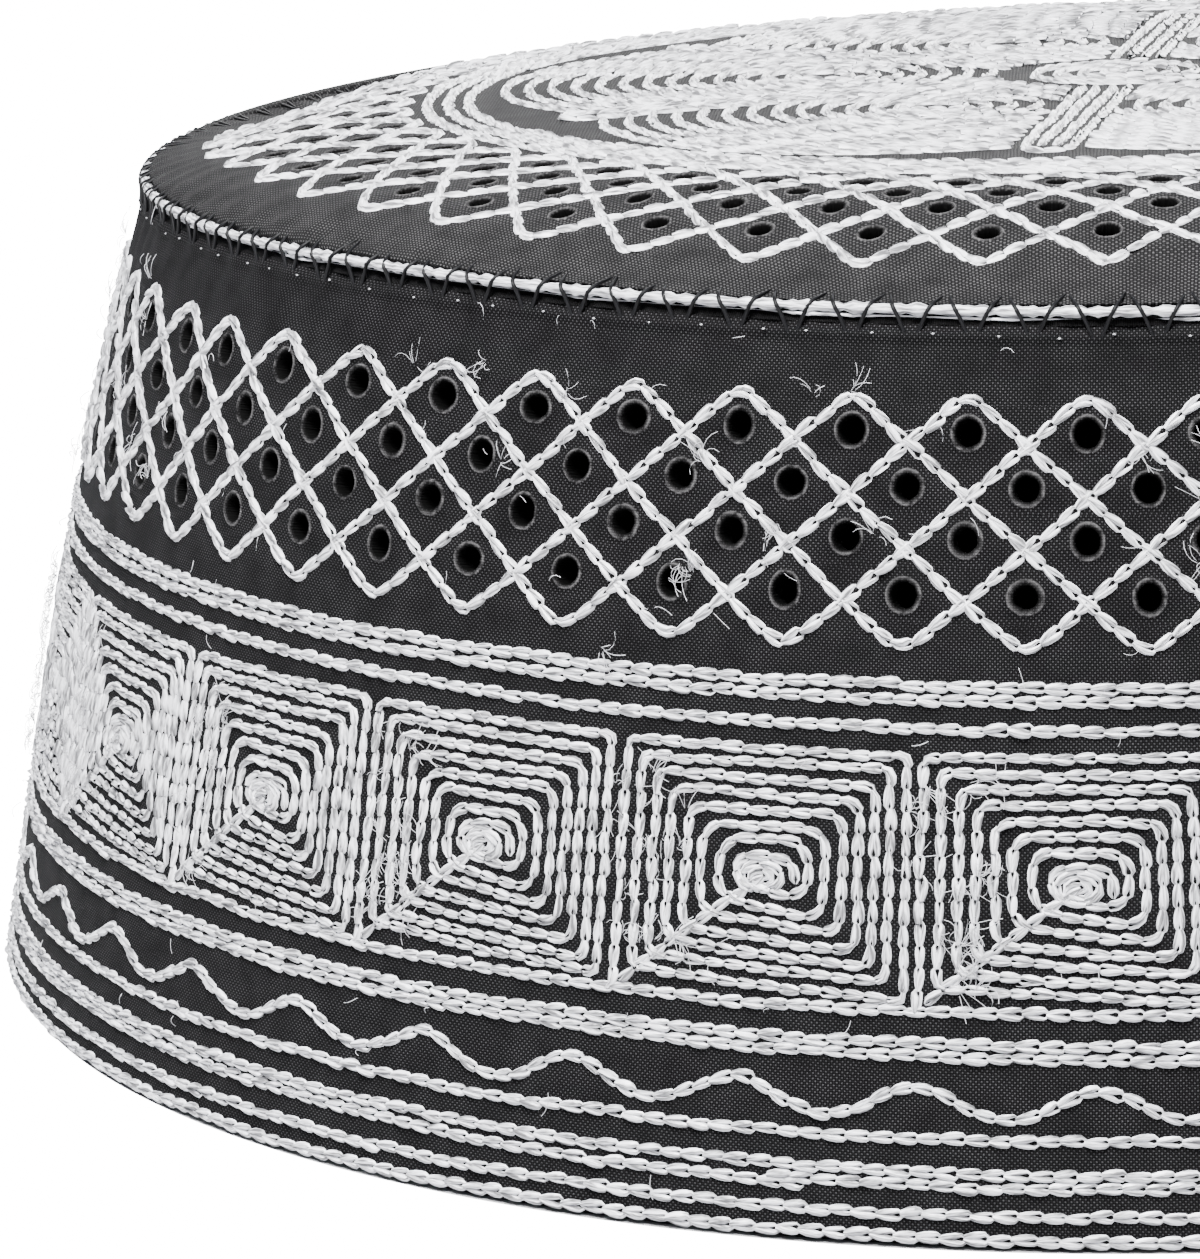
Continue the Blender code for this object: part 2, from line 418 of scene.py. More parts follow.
def cleaned(flat_points):
    """Dense points along a flat polyline, evenly spaced."""
    points = np.asarray(flat_points, float)
    lengths = np.linalg.norm(np.diff(points, axis=0), axis=1)
    along = np.concatenate([[0.0], np.cumsum(lengths)])
    count = max(int(along[-1] / PATH_STEP), 2)
    where = np.linspace(0.0, along[-1], count + 1)
    return np.stack([np.interp(where, along, points[:, axis]) for axis in range(2)], -1)


def rounded(points, radius, steps=5):
    """Round the inner corners of a flat polyline, over one length or one for each point."""
    points = np.asarray(points, float)
    reaches = np.broadcast_to(radius, len(points))[1:-1]
    out = [points[0]]
    for before, corner, after, reach in zip(points[:-2], points[1:-1], points[2:], reaches):
        reach_in = min(reach, 0.5 * np.linalg.norm(corner - before))
        reach_out = min(reach, 0.5 * np.linalg.norm(after - corner))
        start = corner + (before - corner) / np.linalg.norm(before - corner) * reach_in
        end = corner + (after - corner) / np.linalg.norm(after - corner) * reach_out
        for share in np.linspace(0.0, 1.0, steps):
            out.append((1 - share) ** 2 * start + 2 * share * (1 - share) * corner + share ** 2 * end)
    out.append(points[-1])
    return np.array(out)


# One link of the chain, ring by ring: shares of its pitch, of its half spread, of its height and its size
LINK_PLACE = np.array([-0.05, 0.27, 0.58, 0.85, 1.07])
LINK_SPREAD = np.array([0.22, 0.78, 1.08, 1.36, 0.38])
LINK_HEIGHT = np.array([1.05, 1.10, 1.00, 0.62, -0.10])
LINK_SIZE = np.array([0.72, 1.02, 1.06, 0.74, 0.58])
STRAND_SIDE = np.array([-1.16, 0.0, 1.16])
STRAND_RISE = np.array([-1.05, 0.76, -1.05])
STRAND_STAND = 0.17 * MM


def along_line(where, along, values):
    """Values at places along a line, run straight on past its two ends."""
    flat = np.stack([np.interp(where, along, values[:, axis]) for axis in range(3)], -1)
    first = (values[1] - values[0]) / (along[1] - along[0])
    last = (values[-1] - values[-2]) / (along[-1] - along[-2])
    before = np.minimum(where, 0.0)[..., None]
    after = np.maximum(where - along[-1], 0.0)[..., None]
    return flat + before * first + after * last


def chain_line(surface, flat, link, sizes, draw, closed=False, plump=1.0):
    """Links of chain stitch along one flat path: two strands a link, each an arched strip of 8 faces."""
    path = cleaned(flat)
    points, normals = surface(path, np.zeros(len(path)))
    lengths = np.linalg.norm(np.diff(points, axis=0), axis=1)
    along = np.concatenate([[0.0], np.cumsum(lengths)])
    count = max(int(round(along[-1] / link)), 1)
    pitch = along[-1] / count
    shift = draw.normal(0.0, 0.035, count + 1) * pitch
    starts = np.arange(count) * pitch + shift[:-1]
    ends = (np.arange(count) + 1) * pitch + shift[1:]
    where = starts[:, None] + (ends - starts)[:, None] * LINK_PLACE[None, :]
    if closed:
        where = np.mod(where, along[-1])
    centre = along_line(where, along, points)
    normal = along_line(where, along, normals)
    normal /= np.linalg.norm(normal, axis=-1, keepdims=True)
    step = 0.15 * MM
    ahead = np.minimum(where + step, along[-1])
    behind = np.maximum(where - step, 0.0)
    tangent = along_line(ahead, along, points) - along_line(behind, along, points)
    tangent /= np.maximum(np.linalg.norm(tangent, axis=-1, keepdims=True), 1e-9)
    across = np.cross(normal, tangent)
    half = sizes.strand_width / 2.0 * plump
    spread = sizes.chain_width / 2.0 * plump - half
    wide = draw.normal(1.0, 0.13, (count, 1)).clip(0.6, 1.4)
    slide = draw.normal(0.0, 0.05 * MM, (count, 1))
    roll = draw.normal(0.0, 0.07 * MM, (count, 1))
    fat = draw.normal(1.0, 0.07, (count, 1)).clip(0.8, 1.2)
    parts = []
    for side in (-1.0, 1.0):
        offset = side * spread * wide * LINK_SPREAD + slide
        height = STRAND_STAND * LINK_HEIGHT * fat + side * roll * LINK_HEIGHT
        core = centre + across * offset[..., None] + normal * height[..., None]
        reach = half * fat * LINK_SIZE
        ring = core[:, :, None, :] + across[:, :, None, :] * (reach[..., None] * STRAND_SIDE)[..., None]
        ring = ring + normal[:, :, None, :] * (reach[..., None] * STRAND_RISE)[..., None]
        along_coord = np.broadcast_to(where[:, :, None], ring.shape[:3])
        cross_coord = np.broadcast_to(STRAND_SIDE * half + side * half * 2.0, ring.shape[:3])
        parts.append((ring, np.stack([along_coord, cross_coord], -1)))
    vertices = np.stack([part[0] for part in parts], 1).reshape(-1, 3)
    coords = np.stack([part[1] for part in parts], 1).reshape(-1, 2)
    rings = len(LINK_PLACE)
    sides = len(STRAND_SIDE)
    base = np.arange(count * 2)[:, None, None] * rings * sides
    ring_index = np.arange(rings - 1)[None, :, None] * sides
    side_index = np.arange(sides - 1)[None, None, :]
    corner = (base + ring_index + side_index).reshape(-1)
    faces = np.stack([corner, corner + 1, corner + sides + 1, corner + sides], -1)
    return vertices, faces, coords


def thread_piece(name, parts, material):
    vertices, faces, coords = joined(parts)
    piece = mesh_object(name, vertices, faces, material_of(material), coords)
    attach(piece, "root")
    return piece


def chain_piece(name, surface, lines, link, seed, plump=1.0):
    sizes = bpy.context.scene.cap_sizes
    draw = np.random.default_rng(seed)
    parts = [chain_line(surface, flat, link, sizes, draw, closed, plump) for flat, closed in lines]
    thread_piece(name, parts, "white_thread")


def ring_row(height, draw, start=0.0, turns=1.0):
    """A row round the side at a height, with the slow ripple of hand-guided stitching."""
    turn = start + np.linspace(0.0, turns, 720)
    phases = draw.uniform(0.0, FULL_TURN, 3)
    waves = sum(np.sin(FULL_TURN * turn * count + phase) for count, phase in zip(RIPPLE_COUNTS, phases))
    return np.stack([turn_to_rim(turn), height + ROW_RIPPLE * waves / 2.0], -1)


def side_row_lines():
    """The closed rows round the side, and the loose row whose end drops past its start."""
    draw = np.random.default_rng(SEED_CHAIN)
    lines = [(ring_row(height, draw), True) for height in ROW_HEIGHTS.values()]
    lines.append((ring_row(LOOSE_ROW_HIGH, draw), True))
    low = ring_row(LOOSE_ROW_LOW, draw, LOOSE_ROW_START, 1.0 + LOOSE_ROW_OVERLAP)
    share = (low[:, 0] - low[0, 0]) / RIM_LENGTH
    reach = 1.0 - LOOSE_ROW_DROP_START + LOOSE_ROW_OVERLAP
    low[:, 1] -= LOOSE_ROW_DROP * np.clip((share - LOOSE_ROW_DROP_START) / reach, 0.0, 1.0) ** 1.5
    lines.append((low, False))
    return lines


def wave_line():
    """The wave between the hem rows and the pair of rows under the squares."""
    turn = np.linspace(0.0, 1.0, 1440)
    phase = FULL_TURN * WAVE_COUNT * (turn - WAVE_TURN)
    height = WAVE_MIDDLE + WAVE_SWING * (np.cos(phase) + 0.06 * np.cos(2.0 * phase))
    return np.stack([turn_to_rim(turn), height], -1)


def square_line(index, draw):
    """One nested square: a rectangular spiral from its lower left corner to its eye, and the way back."""
    width = turn_to_rim(1.0 / SQUARE_COUNT) - SQUARE_GAP
    left = turn_to_rim(SQUARE_TURN + index / SQUARE_COUNT) + 0.65 * MM
    first_bottom = SQUARE_BASE + 0.85 * MM
    points = [(left - 0.25 * MM, SQUARE_BASE)]
    for loop in range(SQUARE_LOOPS):
        low_left = first_bottom + (loop - 0.2) * SQUARE_PITCH_UP if loop else SQUARE_BASE + 0.4 * MM
        low_right = first_bottom + loop * SQUARE_PITCH_UP - 0.1 * MM
        top = SQUARE_TOP - loop * SQUARE_PITCH_UP
        near = left + loop * SQUARE_PITCH_ACROSS * 1.06
        far = left + width - loop * SQUARE_PITCH_ACROSS * 0.94
        points += [(near, low_left), (near, top), (far, top), (far, low_right)]
    points = np.array(points)
    points[1:] += draw.normal(0.0, SQUARE_JITTER, points[1:].shape)
    eye = np.array([left + width * 0.517, (SQUARE_TOP + SQUARE_BASE) / 2.0 - 0.12 * MM])
    turn = np.linspace(0.0, KNOT_TURNS, 24)
    radius = (KNOT_RADIUS - KNOT_SHRINK * turn / turn[-1]) * MM
    angle = -2.2 - FULL_TURN * turn
    knot = eye + np.stack([1.35 * radius * np.cos(angle), 0.85 * radius * np.sin(angle)], -1)
    spiral = rounded(points, np.linspace(*SQUARE_ROUNDING, len(points)) * MM)
    halfway = (left + 6.6 * MM, SQUARE_BASE + 5.2 * MM)
    back = np.array([eye, halfway, (left + 0.5 * MM, SQUARE_BASE + 0.55 * MM)])
    return [(spiral, False), (knot, False), (rounded(back, 2.0 * MM), False)]


def soft_leg(share, high_slope, low_slope):
    """How much a lattice leg is drawn in at its two ends, so that its corners are round."""
    upper = high_slope * CORNER_SOFTNESS * np.exp(-share / CORNER_SOFTNESS)
    lower = low_slope * CORNER_SOFTNESS * np.exp(-(1.0 - share) / CORNER_SOFTNESS)
    return upper - lower


def zigzags(count, start_turn, height_of):
    """Closed zigzags round the cap: five lattice steps from one upper corner to the next of the same line."""
    groups = math.gcd(count, LATTICE_STEPS)
    share = np.linspace(0.0, 1.0, 40)
    lines = []
    for group in range(groups):
        places = []
        for leg in range(2 * count // groups):
            going_down = leg % 2 == 0
            across = (group + leg * LATTICE_SPAN + share * LATTICE_SPAN) / count
            level = height_of(share if going_down else 1.0 - share)
            places.append(np.stack([start_turn + across, level], -1)[:-1])
        places.append(places[0][:1] + np.array([[LATTICE_STEPS / groups, 0.0]]))
        lines.append(np.concatenate(places))
    return lines


def side_lattice_height(share):
    """Height along a leg of the side's lattice, from its upper corner to its lower one."""
    rise = LATTICE_TOP - LATTICE_BOTTOM
    return LATTICE_TOP - rise * share - soft_leg(share, rise, rise)


def crown_lattice_radius(share):
    """Radius along a leg of the crown's lattice, from its outer corner to its inner one."""
    left = 1.0 - share
    first, second = CROWN_LATTICE_RISE
    level = CROWN_LATTICE_INNER + first * left + second * left ** 2
    return level - soft_leg(share, first + 2.0 * second, first)


def side_wander(across, height):
    """How far the lattice and its eyelets stray along the rim, near the left of the photo."""
    turn = np.mod(across / RIM_LENGTH, 1.0)
    share = np.interp(height, WANDER_HEIGHTS, WANDER_SHARES)
    return share * np.interp(turn, WANDER_TURNS, WANDER_SHIFTS)


def crown_wander(turn):
    """How far the crown's lattice strays round the cap, in turns."""
    return CROWN_WANDER_REACH * np.exp(-((turn - CROWN_WANDER_MIDDLE) / CROWN_WANDER_WIDTH) ** 2)


def lattice_lines():
    lines = []
    for line in zigzags(LATTICE_COUNT, LATTICE_TURN, side_lattice_height):
        across = turn_to_rim(line[:, 0])
        across = across + side_wander(across, line[:, 1])
        lines.append((np.stack([across, line[:, 1]], -1), True))
    return lines


def crown_lattice_lines():
    lines = []
    for line in zigzags(CROWN_LATTICE_COUNT, CROWN_LATTICE_TURN, crown_lattice_radius):
        turn = line[:, 0] + crown_wander(np.mod(line[:, 0], 1.0))
        angle = FULL_TURN * turn - math.pi
        lines.append((np.stack([line[:, 1] * np.cos(angle), line[:, 1] * np.sin(angle)], -1), True))
    return lines


def plan_circle(radius, centre=(0.0, 0.0), start=0.0, sweep=FULL_TURN):
    angle = start + np.linspace(0.0, sweep, max(int(abs(sweep) * radius / (0.4 * MM)), 8))
    return np.stack([centre[0] + radius * np.cos(angle), centre[1] + radius * np.sin(angle)], -1)


def in_petal(points, axis, inset):
    """Whether plan points lie in a petal's sector, clear of its two stems and of the hub."""
    half = math.pi / PETAL_COUNT
    ahead = points[:, 0] * math.cos(axis) + points[:, 1] * math.sin(axis)
    aside = np.abs(points[:, 1] * math.cos(axis) - points[:, 0] * math.sin(axis))
    clear = ahead * math.sin(half) - aside * math.cos(half)
    return (clear > inset) & (np.hypot(points[:, 0], points[:, 1]) > HUB_RADIUS + 1.0 * MM)


def runs_of(mask):
    """First and last index of each unbroken run of true values."""
    edges = np.flatnonzero(np.diff(np.concatenate([[0], mask.astype(int), [0]])))
    return zip(edges[::2], edges[1::2] - 1)


def petal_lines(index):
    """A petal of the rosette: rings round its eye, cut off at the stems on both sides."""
    axis = PETAL_START - math.pi / PETAL_COUNT - index * FULL_TURN / PETAL_COUNT
    eye = (PETAL_EYE * math.cos(axis), PETAL_EYE * math.sin(axis))
    lines = []
    radius = PETAL_REACH
    while radius > 1.2 * MM:
        circle = plan_circle(radius, eye, axis - math.pi)
        mask = in_petal(circle, axis, STEM_HALF + 0.75 * MM)
        for first, last in runs_of(mask):
            if last - first > 5:
                lines.append((circle[first:last + 1], bool(mask.all())))
        radius -= PETAL_PITCH
    return lines


def stem_lines(index):
    """A stem between two petals: a long loop with two lines inside."""
    angle = PETAL_START + index * FULL_TURN / PETAL_COUNT
    ahead = np.array([math.cos(angle), math.sin(angle)])
    aside = np.array([-ahead[1], ahead[0]])
    start = HUB_RADIUS + 2.2 * MM
    turn = [(start, -1.0), (STEM_END - STEM_HALF, -1.0), (STEM_END, -0.5), (STEM_END, 0.5),
            (STEM_END - STEM_HALF, 1.0), (start, 1.0)]
    outer = np.array([ahead * reach + aside * side * STEM_HALF for reach, side in turn])
    lines = [(rounded(outer, 1.5 * MM), False)]
    for side in (-0.34, 0.34):
        ends = (start + 0.5 * MM, STEM_END - 3.3 * MM)
        lines.append((np.array([ahead * reach + aside * side * STEM_HALF for reach in ends]), False))
    return lines


def hub_line():
    """The spiral at the middle of the crown."""
    share = np.linspace(0.0, 1.0, 400)
    radius = 0.6 * MM + (HUB_RADIUS - 0.6 * MM) * share
    angle = FULL_TURN * HUB_TURNS * share
    return np.stack([radius * np.cos(angle), radius * np.sin(angle)], -1)


# Edges across and up each pierced cell of cloth, and the rings of an eyelet: widths, and lifts off the cloth
CELL_ACROSS = 8
CELL_UP = 4
LIP_WIDTH = 0.06 * MM
FOOT_WIDTH = 0.11 * MM
HOLE_LIFT = -0.10 * MM
LIP_LIFT = -0.03 * MM
CREST_LIFT = 0.10 * MM
FOOT_LIFT = -0.02 * MM
MIDDLE_LIFT = 0.04 * MM

# The side cloth's edges, and its length round as a share of the rim's, for the scale of the weave
HEM_EDGE = 0.6 * MM
TOP_EDGE = SEAM_HEIGHT - 0.9 * MM
TOP_ROLL = 0.75 * MM
LOWER_SHARE = 0.93
UPPER_SHARE = 0.86


def cell_border():
    """The border of a cell, 24 places from -1 to 1, and the angle of each on the eyelet's ring."""
    across = np.linspace(-1.0, 1.0, CELL_ACROSS + 1)
    up = np.linspace(-1.0, 1.0, CELL_UP + 1)
    bottom = [(x, -1.0) for x in across[:-1]]
    right = [(1.0, y) for y in up[:-1]]
    top = [(x, 1.0) for x in across[::-1][:-1]]
    left = [(-1.0, y) for y in up[::-1][:-1]]
    border = np.array(bottom + right + top + left)
    count = len(border)
    first = -math.pi + math.radians(30.0)
    return border, first + FULL_TURN * np.arange(count) / count


def pierced_cells(outer, inner, centres, half_across, row_edges, scale, sizes, draw, small=1.0):
    """Faces of the cloth round each eyelet. Flat places are (across, up); scale turns across into metres.

    Each ring of points has a surface, its places, its lift, how dark it is with painted shade in the hole and
    on its lip, and how light it is with a painted highlight on the melted ridge.
    """
    border, angles = cell_border()
    count = len(border)
    parts = []
    circle = np.stack([np.cos(angles), np.sin(angles)], -1)
    for (across, up), (low, high) in zip(centres, row_edges):
        edge = np.empty_like(border)
        edge[:, 0] = across + border[:, 0] * half_across
        edge[:, 1] = (low + high) / 2.0 + border[:, 1] * (high - low) / 2.0
        hole = small * sizes.eyelet_diameter / 2.0 * draw.normal(1.0, 0.04)
        crest = small * sizes.rim_diameter / 2.0 * draw.normal(1.0, 0.025)
        squash = draw.normal(1.0, 0.04)
        ragged = 1.0 + draw.normal(0.0, 0.022, count)[:, None]
        centre = np.array([across, up])
        wide = scale(up)
        stretch = np.array([squash / wide, 1.0 / squash])
        round_hole = centre + circle * hole * ragged * stretch
        round_lip = centre + circle * (hole + LIP_WIDTH) * ragged * stretch
        round_crest = centre + circle * crest * (0.5 + 0.5 * ragged) * stretch
        round_foot = centre + circle * (crest + FOOT_WIDTH) * (0.5 + 0.5 * ragged) * stretch
        middle = round_foot * 0.45 + edge * 0.55
        # Painted highlight on the melted ridge, of random strength round it
        ridge = np.clip(draw.normal(0.55, 0.35, count), 0.1, 1.0)
        flat = np.zeros(count)
        # Marks of painted shade: full on the hole's wall, 0.8 on its lip
        hole_shade = np.ones(count)
        rings = (
            (inner, edge, 0.0, flat, flat), (inner, round_hole, 0.0, hole_shade, flat),
            (outer, round_hole, HOLE_LIFT, hole_shade, flat), (outer, round_lip, LIP_LIFT, 0.80 * hole_shade, flat),
            (outer, round_crest, CREST_LIFT, flat, ridge), (outer, round_foot, FOOT_LIFT, flat, flat),
            (outer, middle, MIDDLE_LIFT, flat, flat), (outer, edge, 0.0, flat, flat))
        vertices = np.concatenate([ring[0](ring[1], np.full(count, ring[2])) for ring in rings])
        coords = np.concatenate([ring[1] * np.array([wide, 1.0]) for ring in rings])
        marks = np.concatenate([np.stack(ring[3:5], -1) for ring in rings])
        ring = np.arange(count)
        following = (ring + 1) % count
        faces = []
        for level in range(len(rings) - 1):
            low_ring = level * count
            high_ring = low_ring + count
            faces.append(np.stack([low_ring + following, low_ring + ring, high_ring + ring,
                                   high_ring + following], -1))
        parts.append((vertices, np.concatenate(faces), coords, marks))
    return parts


def grid_part(surface, across, up, scale=1.0, flip=False):
    """Faces over a grid of flat places, whose last column meets the first round the cap."""
    grid = np.stack(np.meshgrid(across, up, indexing="ij"), -1)
    vertices = surface(grid.reshape(-1, 2), np.zeros(grid.shape[0] * grid.shape[1]))
    coords = grid.reshape(-1, 2) * np.array([scale, 1.0])
    rows = len(up)
    column = np.arange(len(across) - 1)[:, None] * rows
    row = np.arange(rows - 1)[None, :]
    corner = (column + row).reshape(-1)
    faces = np.stack([corner, corner + rows, corner + rows + 1, corner + 1], -1)
    if flip:
        faces = faces[:, ::-1]
    return vertices, faces, coords, np.zeros_like(coords)


def puckers(angle, below_seam):
    """How far the cloth stands out near the seam, where the overcast stitches draw it in."""
    drawn = np.cos(STITCH_COUNT * angle + 0.6) * np.exp(-np.abs(below_seam) / PUCKER_FADE)
    soft = np.sin(23 * angle + 0.4) + 0.8 * np.sin(38 * angle + 1.9)
    return PUCKER_HEIGHT * drawn + FOLD_HEIGHT * soft * np.exp(-np.abs(below_seam) / FOLD_FADE)


def side_outer(flat, lift):
    angle = flat[:, 0] / RIM_RADIUS
    below = SEAM_HEIGHT - flat[:, 1]
    soft = puckers(angle, below) * np.clip(below / (0.8 * MM), 0.0, 1.0)
    piping = PIPING_STAND * np.exp(-((flat[:, 1] - PIPING_HEIGHT) / PIPING_WIDTH) ** 4)
    return on_side(strayed(flat), lift - SIDE_SINK + soft + piping)[0]


def side_inner(flat, lift):
    return on_side(strayed(flat), lift - CLOTH)[0]


def strayed(flat):
    return np.stack([flat[:, 0] + side_wander(flat[:, 0], flat[:, 1]), flat[:, 1]], -1)


def midway(rows):
    return [(first + second) / 2.0 for first, second in zip(rows[:-1], rows[1:])]


def row_bounds(rows):
    """Lower and upper edges of the bands of cells, from the eyelet rows, highest first."""
    inner = midway(rows)
    top = rows[0] + (rows[0] - inner[0])
    bottom = rows[-1] - (inner[-1] - rows[-1])
    return list(zip(inner + [bottom], [top] + inner))


def weld(piece):
    """Join the edges of neighbouring cells."""
    work = bmesh.new()
    work.from_mesh(piece.data)
    bmesh.ops.remove_doubles(work, verts=work.verts, dist=WELD_REACH)
    bmesh.ops.recalc_face_normals(work, faces=work.faces)
    work.to_mesh(piece.data)
    work.free()
    piece.data.shade_smooth()


def rolled_edge(height, reach):
    """Half a roll of the side's cloth from outside to inside, from a height and reaching past it."""
    def surface(flat, lift):
        angle = np.pi * flat[:, 1]
        depth = CLOTH / 2.0 * (1.0 - np.cos(angle))
        place = np.stack([flat[:, 0], height + reach * np.sin(angle)], -1)
        return on_side(place, lift - depth - SIDE_SINK * (1.0 - flat[:, 1]))[0]
    return surface


def side_cloth():
    """The side band's cloth with hem and eyelets; its top roll stays unwelded from the outside."""
    sizes = bpy.context.scene.cap_sizes
    draw = np.random.default_rng(SEED_CHAIN + 1)
    pitch = RIM_LENGTH / LATTICE_COUNT
    bounds = row_bounds(SIDE_EYELET_ROWS)
    centres = []
    edges = []
    for row, (up, band) in enumerate(zip(SIDE_EYELET_ROWS, bounds)):
        for index in range(LATTICE_COUNT):
            offset = 0.5 * (row % 2)
            centres.append((turn_to_rim(LATTICE_TURN) + (index + offset) * pitch, up))
            edges.append(band)
    narrow = [side_radius(up) / RIM_RADIUS for up in SIDE_EYELET_ROWS]

    def scale(up):
        return float(np.interp(up, SIDE_EYELET_ROWS[::-1], narrow[::-1]))

    parts = pierced_cells(side_outer, side_inner, centres, pitch / 2.0, edges, scale, sizes, draw)
    columns = turn_to_rim(LATTICE_TURN) + np.arange(LATTICE_COUNT * CELL_ACROSS + 1) * pitch / CELL_ACROSS
    low = bounds[-1][0]
    high = bounds[0][1]
    lower = np.concatenate([[HEM_EDGE], np.linspace(2.0 * MM, low, 14)])
    around = np.linspace(0.0, 1.0, 6)
    parts += [
        grid_part(side_outer, columns, lower, LOWER_SHARE),
        grid_part(side_outer, columns, np.linspace(high, TOP_EDGE, 19), UPPER_SHARE),
        grid_part(side_inner, columns, np.linspace(HEM_EDGE, low, 6), LOWER_SHARE, flip=True),
        grid_part(side_inner, columns, np.linspace(high, TOP_EDGE, 3), UPPER_SHARE, flip=True),
        grid_part(rolled_edge(HEM_EDGE, -HEM_EDGE), columns, around, flip=True),
        grid_part(rolled_edge(TOP_EDGE, TOP_ROLL), columns, around)]
    vertices, faces, coords, marks = joined(parts)
    piece = mesh_object("side_cloth", vertices, faces, material_of("side_cloth"), coords, marks)
    weld(piece)
    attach(piece, "root")
    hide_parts("side_band")


def crown_outer(flat, lift):
    return polar_crown(flat, lift - CROWN_SINK)


def crown_inner(flat, lift):
    return polar_crown(flat, lift - CROWN_SINK - CLOTH * 0.8)


def polar_crown(flat, lift):
    """Points of the crown from an angle round it and a radius."""
    angle = flat[:, 0]
    radius = flat[:, 1]
    plan = np.stack([radius * np.cos(angle), radius * np.sin(angle)], -1)
    fade = np.clip((SEAM_RADIUS - radius) / (1.0 * MM), 0.0, 1.0)
    soft = puckers(angle + math.pi, (SEAM_RADIUS - radius) * 1.2) * fade
    return on_crown(plan, lift + soft)[0]


def crown_cloth():
    """The crown's cloth: a pierced dome and a layer under it, left open at the seam and the hub."""
    sizes = bpy.context.scene.cap_sizes
    draw = np.random.default_rng(SEED_CHAIN + 2)
    pitch = FULL_TURN / CROWN_LATTICE_COUNT
    start = FULL_TURN * CROWN_LATTICE_TURN - math.pi
    bounds = row_bounds(CROWN_EYELET_ROWS)
    centres = []
    edges = []
    for row, (up, band) in enumerate(zip(CROWN_EYELET_ROWS, bounds)):
        for index in range(CROWN_LATTICE_COUNT):
            centres.append((start + (index + 0.5 * (row % 2)) * pitch, up))
            edges.append(band)
    parts = pierced_cells(
        crown_outer, crown_inner, centres, pitch / 2.0, edges, float, sizes, draw, CROWN_EYELET_SHARE)
    columns = start + np.arange(CROWN_LATTICE_COUNT * CELL_ACROSS + 1) * pitch / CELL_ACROSS
    low = bounds[-1][0]
    high = bounds[0][1]
    shoulder = high + (SEAM_RADIUS - high) * np.sin(np.linspace(0.0, math.pi / 2.0, 12))
    turned_down = SEAM_RADIUS + np.array([0.3, 0.6, 0.9]) * MM
    parts += [
        grid_part(crown_outer, columns, np.linspace(CROWN_HOLE, low, 14)),
        grid_part(crown_outer, columns, np.concatenate([shoulder, turned_down])),
        grid_part(crown_inner, columns, np.linspace(CROWN_HOLE, low, 6), flip=True),
        grid_part(crown_inner, columns, np.linspace(high, SEAM_RADIUS - CLOTH, 3), flip=True)]
    vertices, faces, _, marks = joined(parts)
    radius = np.hypot(vertices[:, 0], vertices[:, 1])
    along = 1.0 + np.maximum(SHOULDER_LEVEL - vertices[:, 2], 0.0) / np.maximum(radius, 1.0 * MM)
    coords = vertices[:, :2] * along[:, None]
    piece = mesh_object("crown_cloth", vertices, faces, material_of("crown_cloth"), coords, marks)
    weld(piece)
    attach(piece, "root")
    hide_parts("crown")


def tube_part(points, radius, sides, ends=True):
    """A tube along a line, its rings square to the line and its ends drawn in nearly to a point."""
    points = np.asarray(points, float)
    count = len(points)
    tangent = np.gradient(points, axis=0)
    tangent /= np.maximum(np.linalg.norm(tangent, axis=1, keepdims=True), 1e-9)
    guide = np.tile([0.0, 0.0, 1.0], (count, 1))
    flat = np.abs(tangent[:, 2]) > 0.95
    guide[flat] = [1.0, 0.0, 0.0]
    first = np.cross(guide, tangent)
    first /= np.linalg.norm(first, axis=1, keepdims=True)
    second = np.cross(tangent, first)
    size = np.broadcast_to(radius, (count,)).copy()
    if ends:
        size[0] *= 0.15
        size[-1] *= 0.15
    angle = FULL_TURN * np.arange(sides) / sides
    ring = first[:, None, :] * np.cos(angle)[None, :, None]
    ring = ring + second[:, None, :] * np.sin(angle)[None, :, None]
    vertices = (points[:, None, :] + ring * size[:, None, None]).reshape(-1, 3)
    row = np.arange(count - 1)[:, None] * sides
    side = np.arange(sides)[None, :]
    after = (side + 1) % sides
    faces = np.stack([row + side, row + after, row + sides + after, row + sides + side], -1).reshape(-1, 4)
    length = np.concatenate([[0.0], np.cumsum(np.linalg.norm(np.diff(points, axis=0), axis=1))])
    coords = np.stack([np.repeat(length, sides), np.tile(angle * np.mean(size), count)], -1)
    return vertices, faces, coords


def seam_place(turn, up, out):
    """A point near the seam: turns round it, metres up and metres out from the cord's middle."""
    angle = FULL_TURN * np.asarray(turn) - math.pi
    bulge = bulge_share(angle)
    radius = SEAM_RADIUS + BULGE_OUT * bulge + np.asarray(out)
    height = SEAM_HEIGHT - BULGE_DROP * bulge + np.asarray(up)
    return np.stack([radius * np.cos(angle), radius * np.sin(angle), height], -1)


def slow_wave(turn, counts, draw):
    waves = [np.sin(FULL_TURN * turn * count + draw.uniform(0.0, FULL_TURN)) for count in counts]
    return sum(waves) / len(counts)


